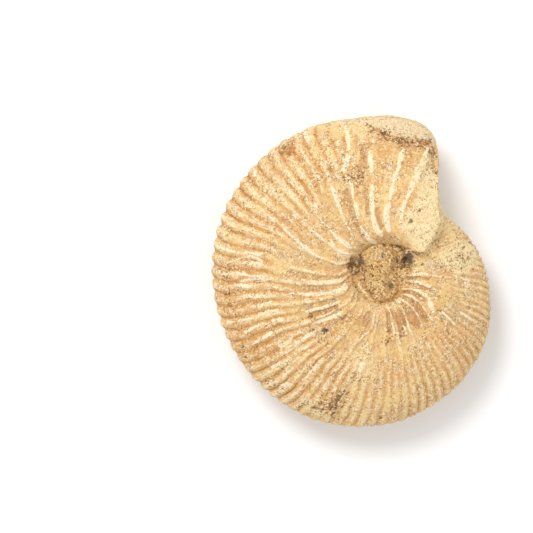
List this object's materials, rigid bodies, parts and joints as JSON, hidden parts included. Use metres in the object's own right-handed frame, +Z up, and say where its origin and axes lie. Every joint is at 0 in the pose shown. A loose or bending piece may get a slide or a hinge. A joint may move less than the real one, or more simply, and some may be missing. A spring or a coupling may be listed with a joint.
{
  "type": "ammonite fossil",
  "caption": "Ribbed ammonite fossil, a flat coiled shell turned to stone with a broken aperture, lying on its flank on a small flat spot as a display specimen.",
  "frame": {"origin": "centre of the small flat spot of matrix on the lower flank, which the fossil rests on", "axes": "+Z up, along the coil axis, so the coil lies level; +Y towards the end of the body chamber; +X towards the earlier half of the last whorl, on the side of the aperture"},
  "size_m": [0.0517, 0.0576, 0.019],
  "materials": {
    "limestone": "matt, worn and porous tan limestone, with pale cream rib crests and brown stains in the furrows"
  },
  "bodies": {
    "root": {"ammonite": "limestone"}
  },
  "joints": []
}
